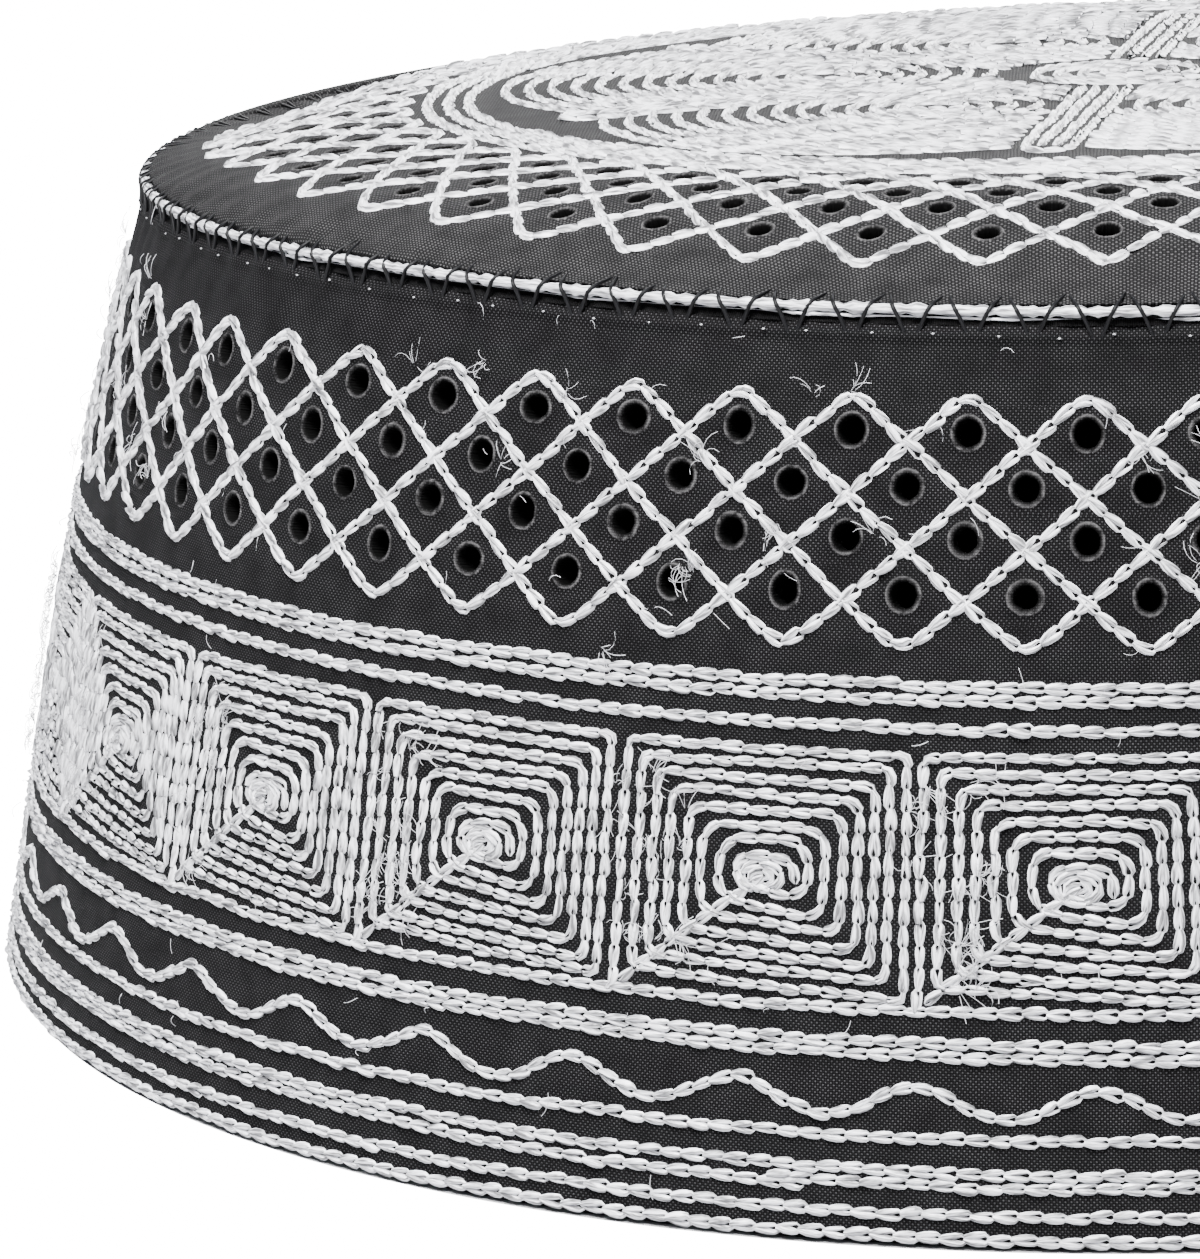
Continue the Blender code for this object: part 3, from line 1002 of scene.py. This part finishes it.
def cord_strands():
    """A lumpy white strand along the seam, a thin one that comes and goes, and small stitches below."""
    draw = np.random.default_rng(SEED_SEAM)
    turn = np.linspace(0.0, 1.0, 1300)
    crossing = np.cos(FULL_TURN * 2.0 * STITCH_COUNT * (turn - STITCH_TURN) + math.pi / 2.0)
    pinch = 1.0 - 0.30 * np.clip(crossing, 0.0, 1.0) ** 3
    drift = slow_wave(turn, (3, 7, 12), draw)
    lumps = 1.0 + 0.34 * slow_wave(turn, (131, 311, 423), draw)
    shown = np.clip(-0.15 + 2.2 * slow_wave(turn, (5, 19, 31), draw), 0.0, 1.0)
    main = seam_place(turn, (0.16 + 0.10 * drift) * MM, 0.14 * MM)
    thin = seam_place(turn, (-0.40 + 0.16 * drift) * MM, (0.45 * shown - 0.25) * MM)
    parts = [
        tube_part(main, CORD_THREAD * pinch * lumps, sides=8, ends=False),
        tube_part(thin, (0.02 + 0.13 * shown) * MM * lumps, sides=6, ends=False)]
    for index in range(STITCH_COUNT):
        place = STITCH_TURN + (index - 0.12 + draw.normal(0.0, 0.10)) / STITCH_COUNT
        reach = turn_to_rim(place) + np.linspace(-0.16, 0.16, 4) * MM
        flat = np.stack([reach, np.full(4, PIPING_HEIGHT + draw.normal(0.0, 0.08) * MM)], -1)
        parts.append(tube_part(on_side(flat, 0.17 * MM)[0], 0.085 * MM, sides=6))
    piece = thread_piece("cord_strands", parts, "white_thread")
    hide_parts("seam_cord")


def overcast_stitches():
    """Black thread in zigzags over the cord, from punctures in the crown to punctures in the side."""
    sizes = bpy.context.scene.cap_sizes
    draw = np.random.default_rng(SEED_SEAM + 1)
    parts = []
    for index in range(STITCH_COUNT):
        turn = STITCH_TURN + index / STITCH_COUNT
        for side in (-1.0, 1.0):
            sway = draw.normal(0.0, 0.00012, 2)
            inward = (OVERCAST_INWARD + draw.normal(0.0, 0.3)) * MM
            top = crown_point_near_seam(turn + sway[0] + side * 0.0002, inward)
            low_turn = turn + side * 0.5 / STITCH_COUNT * 0.92 + sway[1]
            reach = low_turn - turn
            low = np.array([[turn_to_rim(low_turn), SEAM_HEIGHT - OVERCAST_DROP]])
            over = [seam_place(turn + reach * part, up * MM, out * MM) for part, up, out in OVERCAST_PATH]
            line = np.array([top, *over, on_side(low, -0.12 * MM)[0][0]])
            share = np.linspace(0.0, 1.0, 5)
            dense = np.linspace(0.0, 1.0, 11)
            curve = np.stack([np.interp(dense, share, line[:, axis]) for axis in range(3)], -1)
            taper = np.interp(dense, (0.0, 0.3), (0.5, 1.0))
            parts.append(tube_part(curve, taper * sizes.overcast_diameter / 2.0, sides=6))
    thread_piece("overcast_stitches", parts, "black_thread")


def crown_point_near_seam(turn, inward):
    """Where an overcast stitch starts in the crown's cloth."""
    angle = FULL_TURN * turn - math.pi
    radius = SEAM_RADIUS - 0.15 * MM - inward * 0.35
    plan = np.array([[radius * math.cos(angle), radius * math.sin(angle)]])
    return on_crown(plan, np.array([-CROWN_SINK - 0.24 * MM]))[0][0]


def hair(start, heading, length, draw):
    """One curled hair that starts on the stitching."""
    steps = 5
    angle = heading + draw.normal(0.0, 1.3) * np.linspace(0.0, 1.0, steps)
    walk = np.cumsum(np.stack([np.cos(angle), np.sin(angle)], -1) * length / steps, axis=0)
    arch = draw.uniform(0.1, 0.7) * np.sin(np.linspace(0.0, 2.4, steps))
    lift = (0.40 + 0.25 * draw.uniform() + arch) * MM
    return tube_part(on_side(start + walk, lift)[0], draw.uniform(0.020, 0.033) * MM, sides=3, ends=False)


def lint_hairs():
    """Fine stray hairs of thread over the stitching, single and in small tufts."""
    draw = np.random.default_rng(SEED_LINT)
    parts = []
    for _ in range(SINGLE_HAIRS):
        start = np.array([turn_to_rim(draw.uniform(0.0, 1.0)), draw.uniform(4.0, 64.0) * MM])
        parts.append(hair(start, draw.normal(0.0, 0.9), draw.uniform(0.8, 2.4) * MM, draw))
    for index in range(TUFTS):
        square = draw.integers(0, SQUARE_COUNT) + draw.uniform(-0.03, 0.26)
        on_square = index % TUFT_CYCLE > 0
        turn = SQUARE_TURN + square / SQUARE_COUNT if on_square else draw.uniform(0.0, 1.0)
        height = draw.uniform(*SQUARE_LINT) if on_square else draw.uniform(*LATTICE_LINT)
        start = np.array([turn_to_rim(turn), height * MM])
        heading = draw.normal(0.0, 0.5) if on_square else draw.uniform(0.0, FULL_TURN)
        for _ in range(draw.integers(4, 9)):
            parts.append(hair(start, heading + draw.normal(0.0, 0.7), draw.uniform(0.9, 2.8) * MM, draw))
    thread_piece("lint_hairs", parts, "lint")


# Shader node groups shared by the materials
def new_group(name, outputs):
    """An empty node group with a Vector input and the named outputs, and its two end nodes."""
    group = bpy.data.node_groups.new(name, "ShaderNodeTree")
    group.interface.new_socket(name="Vector", in_out="INPUT", socket_type="NodeSocketVector")
    for output in outputs:
        group.interface.new_socket(name=output, in_out="OUTPUT", socket_type="NodeSocketFloat")
    return group, group.nodes.new("NodeGroupInput"), group.nodes.new("NodeGroupOutput")


def math_node(nodes, links, operation, first, second=None):
    node = nodes.new("ShaderNodeMath")
    node.operation = operation
    for socket, value in zip(node.inputs, (first, second)):
        if value is None:
            continue
        if isinstance(value, (int, float)):
            socket.default_value = value
        else:
            links.new(value, socket)
    return node.outputs[0]


def noise_node(nodes, links, vector, scale, detail=2.0):
    noise = nodes.new("ShaderNodeTexNoise")
    noise.inputs["Scale"].default_value = scale
    noise.inputs["Detail"].default_value = detail
    links.new(vector, noise.inputs["Vector"])
    return noise.outputs["Fac"]


def range_node(nodes, links, value, low, high, result_low=0.0):
    """Stretch the values between low and high over result_low to one."""
    stretch = nodes.new("ShaderNodeMapRange")
    stretch.inputs["From Min"].default_value = low
    stretch.inputs["From Max"].default_value = high
    stretch.inputs["To Min"].default_value = result_low
    links.new(value, stretch.inputs["Value"])
    return stretch.outputs[0]


def weave_group():
    """Plain weave: raised yarns over and under each other, and a mask of painted highlight on their crowns.
    """
    group, given, result = new_group("plain_weave", ("Height", "Yarn highlight mask"))
    group.interface.new_socket(name="Yarn pitch", in_out="INPUT", socket_type="NodeSocketFloat")
    nodes = group.nodes
    links = group.links
    vector = given.outputs["Vector"]
    split = nodes.new("ShaderNodeSeparateXYZ")
    links.new(vector, split.inputs[0])
    wobble = math_node(nodes, links, "MULTIPLY", noise_node(nodes, links, vector, 900.0), YARN_WOBBLE)
    waves = []
    for axis in range(2):
        moved = math_node(nodes, links, "ADD", split.outputs[axis], wobble)
        turns = math_node(nodes, links, "DIVIDE", moved, given.outputs["Yarn pitch"])
        angle = math_node(nodes, links, "MULTIPLY", turns, math.pi)
        waves.append(math_node(nodes, links, "SINE", angle))
    product = math_node(nodes, links, "MULTIPLY", waves[0], waves[1])
    under = math_node(nodes, links, "MULTIPLY", product, -0.30)
    over = math_node(nodes, links, "MAXIMUM", product, under)
    links.new(math_node(nodes, links, "POWER", over, 0.7), result.inputs["Height"])
    # Painted highlight on the yarn crowns, full on one set, weaker on the other, and in random patches
    patches = range_node(nodes, links, noise_node(nodes, links, vector, 330.0), 0.30, 0.70, 0.45)
    mask = math_node(nodes, links, "POWER", over, 1.5)
    links.new(math_node(nodes, links, "MULTIPLY", mask, patches), result.inputs["Yarn highlight mask"])
    return group


def strand_group():
    """Silky filaments that run along a thread, finely twisted: their bump, and a mask for painted shade and
    sheen along them.
    """
    group, given, result = new_group("silky_strand", ("Height", "Filament shading mask"))
    nodes = group.nodes
    links = group.links
    place = nodes.new("ShaderNodeMapping")
    place.inputs["Rotation"].default_value = (0.0, 0.0, STRAND_TWIST)
    place.inputs["Scale"].default_value = FILAMENTS
    links.new(given.outputs["Vector"], place.inputs["Vector"])
    filaments = noise_node(nodes, links, place.outputs[0], 1.0, 3.0)
    links.new(filaments, result.inputs["Height"])
    # Mask of painted shade and sheen along the filaments
    links.new(range_node(nodes, links, filaments, 0.38, 0.60), result.inputs["Filament shading mask"])
    return group


def new_material(name, roughness):
    material = bpy.data.materials.new(name)
    material.use_nodes = True
    shader = material.node_tree.nodes["Principled BSDF"]
    shader.inputs["Roughness"].default_value = roughness
    return material, shader, material.node_tree.nodes, material.node_tree.links


def placed_group(nodes, links, name, maker):
    node = nodes.new("ShaderNodeGroup")
    node.node_tree = bpy.data.node_groups.get(name) or maker()
    coordinates = nodes.new("ShaderNodeUVMap")
    coordinates.uv_map = "cloth"
    links.new(coordinates.outputs[0], node.inputs["Vector"])
    return node


def bump_to(nodes, links, shader, height, strength, distance):
    bump = nodes.new("ShaderNodeBump")
    bump.inputs["Strength"].default_value = strength
    bump.inputs["Distance"].default_value = distance
    links.new(height, bump.inputs["Height"])
    links.new(bump.outputs[0], shader.inputs["Normal"])


def colour_mix(nodes, links, factor, dark, light):
    """Blend two colours, each a fixed one or another node's."""
    mix = nodes.new("ShaderNodeMix")
    mix.data_type = "RGBA"
    links.new(factor, mix.inputs[0])
    for socket, value in ((mix.inputs[6], dark), (mix.inputs[7], light)):
        if isinstance(value, bpy.types.NodeSocket):
            links.new(value, socket)
        else:
            socket.default_value = (*value, 1.0)
    return mix.outputs[2]


def make_cloth(name):
    colours = bpy.context.scene.cap_colours
    material, shader, nodes, links = new_material(name, 0.75)
    crown = "crown" in name
    # The crown's colours are lighter than the side's as painted light where the crown faces up
    dark = colours.crown if crown else colours.cloth
    light = colours.crown_highlight if crown else colours.cloth_highlight
    weave = placed_group(nodes, links, "plain_weave", weave_group)
    weave.inputs["Yarn pitch"].default_value = CROWN_YARN if crown else SIDE_YARN
    # Painted highlight on the crowns of the raised yarns
    woven = colour_mix(nodes, links, weave.outputs["Yarn highlight mask"], dark, light)
    coordinates = nodes.new("ShaderNodeUVMap")
    coordinates.uv_map = "eyelet"
    marks = nodes.new("ShaderNodeSeparateXYZ")
    links.new(coordinates.outputs[0], marks.inputs[0])
    # Painted highlight on the melted ridge round each eyelet
    ridged = colour_mix(nodes, links, marks.outputs[1], woven, colours.eyelet_rim_shine)
    # Painted shade: the eyelet's hole wall and lip turned near-black
    hole_shade = colour_mix(nodes, links, marks.outputs[0], ridged, HOLE_SHADE)
    links.new(hole_shade, shader.inputs["Base Color"])
    shader.inputs["Specular IOR Level"].default_value = 0.06
    bump_to(nodes, links, shader, weave.outputs["Height"], 0.9, 0.07 * MM)
    return material


def make_thread(name, roughness, gloss, shade, dark, light):
    """Silky thread in a colour, its filaments between a dark and a light share of it: a dark share under one
    is painted shade between the filaments, and a light share over one is painted sheen on them.
    """
    material, shader, nodes, links = new_material(name, roughness)
    strand = placed_group(nodes, links, "silky_strand", strand_group)
    ends = [tuple(value * share for value in shade) for share in (dark, light)]
    filament_shading = colour_mix(nodes, links, strand.outputs["Filament shading mask"], *ends)
    links.new(filament_shading, shader.inputs["Base Color"])
    shader.inputs["Specular IOR Level"].default_value = gloss
    return material, shader, nodes, links, strand.outputs["Height"]


def make_white_thread(name):
    thread = bpy.context.scene.cap_colours.thread
    # A dark share of 0.13 paints shade between the white filaments
    material, shader, nodes, links, height = make_thread(name, 0.36, 0.9, thread, 0.13, 1.0)
    bump_to(nodes, links, shader, height, 1.0, 0.14 * MM)
    return material


def make_black_thread(name):
    thread = bpy.context.scene.cap_colours.black_thread
    # A light share of 2.2 paints sheen on the black filaments
    material, shader, nodes, links, height = make_thread(name, 0.42, 0.14, thread, 1.0, 2.2)
    bump_to(nodes, links, shader, height, 0.5, 0.05 * MM)
    return material


def make_lint(name):
    # Shares of 0.40 and 0.95 paint shade between the hair's filaments
    return make_thread(name, 0.5, 0.5, bpy.context.scene.cap_colours.thread, 0.40, 0.95)[0]


MATERIALS = {
    "side_cloth": make_cloth,
    "crown_cloth": make_cloth,
    "white_thread": make_white_thread,
    "black_thread": make_black_thread,
    "lint": make_lint,
}


def material_of(name):
    return bpy.data.materials.get("cap_" + name) or MATERIALS[name]("cap_" + name)


# Camera and studio
PHOTO_HEIGHT = 1259
FOCAL_PIXELS = 7068.0
SENSOR = 36.0
CAMERA_DISTANCE = 6.178 * RIM_RADIUS
CAMERA_HEIGHT = 1.6735 * RIM_RADIUS
CAMERA_YAW = math.radians(4.369)
CAMERA_PITCH = math.radians(12.823)
CAMERA_ROLL = math.radians(-1.446)
FLOOR_SIZE = 12.0
FLOOR_DROP = 0.2 * MM
FLOOR_GLOW = 16.0
SKY_COLOUR = (0.84, 0.87, 1.0, 1.0)
SKY_STRENGTH = 0.42
LIGHT_TARGET = (0.0, 0.0, 0.04)


def camera_axes():
    forward = Vector((
        -math.sin(CAMERA_YAW) * math.cos(CAMERA_PITCH),
        math.cos(CAMERA_YAW) * math.cos(CAMERA_PITCH), -math.sin(CAMERA_PITCH)))
    level = Vector((math.cos(CAMERA_YAW), math.sin(CAMERA_YAW), 0.0))
    up = level.cross(forward)
    right = math.cos(CAMERA_ROLL) * level + math.sin(CAMERA_ROLL) * up
    top = -math.sin(CAMERA_ROLL) * level + math.cos(CAMERA_ROLL) * up
    return right, top, forward


def add_camera():
    right, top, forward = camera_axes()
    data = bpy.data.cameras.new("photo_camera")
    data.sensor_width = SENSOR
    data.lens = SENSOR * FOCAL_PIXELS / PHOTO_HEIGHT
    data.clip_start = 0.01
    data.clip_end = 20.0
    camera = bpy.data.objects.new("photo_camera", data)
    turn = Matrix((right, top, -forward)).transposed().to_4x4()
    camera.matrix_world = Matrix.Translation((0.0, -CAMERA_DISTANCE, CAMERA_HEIGHT)) @ turn
    bpy.context.scene.collection.objects.link(camera)
    bpy.context.scene.camera = camera


def add_area_light(name, place, width, power):
    data = bpy.data.lights.new(name, "AREA")
    data.shape = "RECTANGLE"
    data.size = width
    data.size_y = width
    data.energy = power
    light = bpy.data.objects.new(name, data)
    light.location = place
    light.rotation_euler = (Vector(LIGHT_TARGET) - Vector(place)).to_track_quat("-Z", "Y").to_euler()
    bpy.context.scene.collection.objects.link(light)


def add_floor():
    """A pale floor that looks plain white to the camera, except under the cap."""
    colours = bpy.context.scene.cap_colours
    bpy.ops.mesh.primitive_plane_add(size=FLOOR_SIZE, location=(0.0, 0.0, -FLOOR_DROP))
    floor = bpy.context.object
    floor.name = "floor"
    material, shader, nodes, links = new_material("studio_floor", 0.9)
    shader.inputs["Base Color"].default_value = (*colours.floor, 1.0)
    glow = nodes.new("ShaderNodeEmission")
    glow.inputs["Strength"].default_value = FLOOR_GLOW
    both = nodes.new("ShaderNodeAddShader")
    links.new(shader.outputs[0], both.inputs[0])
    links.new(glow.outputs[0], both.inputs[1])
    seen = nodes.new("ShaderNodeLightPath")
    place = nodes.new("ShaderNodeTexCoord")
    distance = nodes.new("ShaderNodeVectorMath")
    distance.operation = "LENGTH"
    links.new(place.outputs["Object"], distance.inputs[0])
    past_rim = math_node(nodes, links, "GREATER_THAN", distance.outputs["Value"], RIM_RADIUS)
    glowing = math_node(nodes, links, "MULTIPLY", seen.outputs["Is Camera Ray"], past_rim)
    choice = nodes.new("ShaderNodeMixShader")
    links.new(glowing, choice.inputs[0])
    links.new(shader.outputs[0], choice.inputs[1])
    links.new(both.outputs[0], choice.inputs[2])
    links.new(choice.outputs[0], nodes["Material Output"].inputs["Surface"])
    floor.data.materials.append(material)


def add_world():
    world = bpy.data.worlds.new("studio")
    world.use_nodes = True
    background = world.node_tree.nodes["Background"]
    background.inputs["Color"].default_value = SKY_COLOUR
    background.inputs["Strength"].default_value = SKY_STRENGTH
    bpy.context.scene.world = world


class CAP_OT_side_cloth(bpy.types.Operator):
    """Make the pierced cloth of the side band"""

    bl_idname = "cap.side_cloth"
    bl_label = "Side cloth"

    def execute(self, context):
        side_cloth()
        return {"FINISHED"}


class CAP_OT_crown_cloth(bpy.types.Operator):
    """Make the pierced cloth of the crown"""

    bl_idname = "cap.crown_cloth"
    bl_label = "Crown cloth"

    def execute(self, context):
        crown_cloth()
        return {"FINISHED"}


class CAP_OT_side_rows(bpy.types.Operator):
    """Stitch the rows and the wave round the side"""

    bl_idname = "cap.side_rows"
    bl_label = "Side rows"

    def execute(self, context):
        sizes = context.scene.cap_sizes
        draw = np.random.default_rng(SEED_CHAIN + 3)
        base = (ring_row(SQUARE_BASE, draw), True)
        chain_piece("side_rows", on_side_thread, side_row_lines() + [base], sizes.row_link, SEED_CHAIN + 4)
        chain_piece("wave_row", on_side_thread, [(wave_line(), True)], sizes.square_link, SEED_CHAIN + 5)
        return {"FINISHED"}


class CAP_OT_squares(bpy.types.Operator):
    """Stitch the nested squares, in two pieces"""

    bl_idname = "cap.squares"
    bl_label = "Nested squares"

    def execute(self, context):
        link = context.scene.cap_sizes.square_link
        draw = np.random.default_rng(SEED_CHAIN + 6)
        half = SQUARE_COUNT // 2
        for name, first in (("squares_front", 0), ("squares_back", half)):
            lines = []
            for index in range(first, first + half):
                lines += square_line(index, draw)
            chain_piece(name, on_side_thread, lines, link, SEED_CHAIN + 7 + first, SQUARE_PLUMP)
        return {"FINISHED"}


class CAP_OT_lattices(bpy.types.Operator):
    """Stitch the lattices of the side and of the crown"""

    bl_idname = "cap.lattices"
    bl_label = "Lattices"

    def execute(self, context):
        link = context.scene.cap_sizes.lattice_link
        chain_piece("side_lattice", on_side_thread, lattice_lines(), link, SEED_CHAIN + 8)
        lines = crown_lattice_lines()
        chain_piece("crown_lattice", on_crown_thread, lines, link, SEED_CHAIN + 9, CROWN_PLUMP)
        return {"FINISHED"}


class CAP_OT_rosette(bpy.types.Operator):
    """Stitch the rings, petals, stems and hub of the crown"""

    bl_idname = "cap.rosette"
    bl_label = "Rosette"

    def execute(self, context):
        link = context.scene.cap_sizes.lattice_link
        rings = [(plan_circle(radius), True) for radius in RING_RADII]
        chain_piece("crown_rings", on_crown_thread, rings, link, SEED_CHAIN + 10)
        lines = [(hub_line(), False)]
        for index in range(PETAL_COUNT):
            lines += petal_lines(index) + stem_lines(index)
        chain_piece("rosette", on_crown_thread, lines, link, SEED_CHAIN + 11, ROSETTE_PLUMP)
        return {"FINISHED"}


class CAP_OT_seam(bpy.types.Operator):
    """Lay the white cord and the black overcast stitches along the seam"""

    bl_idname = "cap.seam"
    bl_label = "Seam"

    def execute(self, context):
        cord_strands()
        overcast_stitches()
        return {"FINISHED"}


class CAP_OT_lint(bpy.types.Operator):
    """Scatter stray hairs of thread"""

    bl_idname = "cap.lint"
    bl_label = "Lint"

    def execute(self, context):
        lint_hairs()
        return {"FINISHED"}


class CAP_OT_stage(bpy.types.Operator):
    """Set up the camera, the pale floor and the studio light"""

    bl_idname = "cap.stage"
    bl_label = "Stage"

    def execute(self, context):
        add_camera()
        add_floor()
        add_world()
        add_area_light("key_light", (-0.27, -0.72, 1.28), 0.6, 112.0)
        add_area_light("fill_light", (1.0, -0.9, 0.7), 1.0, 5.2)
        add_area_light("back_light", (0.25, 1.25, 0.35), 0.8, 22.0)
        return {"FINISHED"}


class CAP_PT_panel(bpy.types.Panel):
    """The cap's pieces and settings"""

    bl_idname = "CAP_PT_panel"
    bl_label = "Kufi cap"
    bl_space_type = "VIEW_3D"
    bl_region_type = "UI"
    bl_category = "Kufi cap"

    def draw(self, context):
        for operator in OPERATORS:
            self.layout.operator(operator.bl_idname)
        for group in (context.scene.cap_sizes, context.scene.cap_colours):
            for name in group.bl_rna.properties.keys():
                if name not in ("rna_type", "name"):
                    self.layout.prop(group, name)


OPERATORS = (
    CAP_OT_stage, CAP_OT_side_cloth, CAP_OT_crown_cloth, CAP_OT_side_rows, CAP_OT_squares,
    CAP_OT_lattices, CAP_OT_rosette, CAP_OT_seam, CAP_OT_lint)
CLASSES = (CapSizes, CapColours) + OPERATORS + (CAP_PT_panel,)


def register():
    for cls in CLASSES:
        bpy.utils.register_class(cls)
    bpy.types.Scene.cap_sizes = PointerProperty(type=CapSizes)
    bpy.types.Scene.cap_colours = PointerProperty(type=CapColours)


def unregister():
    del bpy.types.Scene.cap_colours
    del bpy.types.Scene.cap_sizes
    for cls in reversed(CLASSES):
        bpy.utils.unregister_class(cls)


def main():
    register()
    bpy.ops.cap.stage()
    bpy.ops.cap.side_cloth()
    bpy.ops.cap.crown_cloth()
    bpy.ops.cap.side_rows()
    bpy.ops.cap.squares()
    bpy.ops.cap.lattices()
    bpy.ops.cap.rosette()
    bpy.ops.cap.seam()
    bpy.ops.cap.lint()
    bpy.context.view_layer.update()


if __name__ == "__main__":
    main()
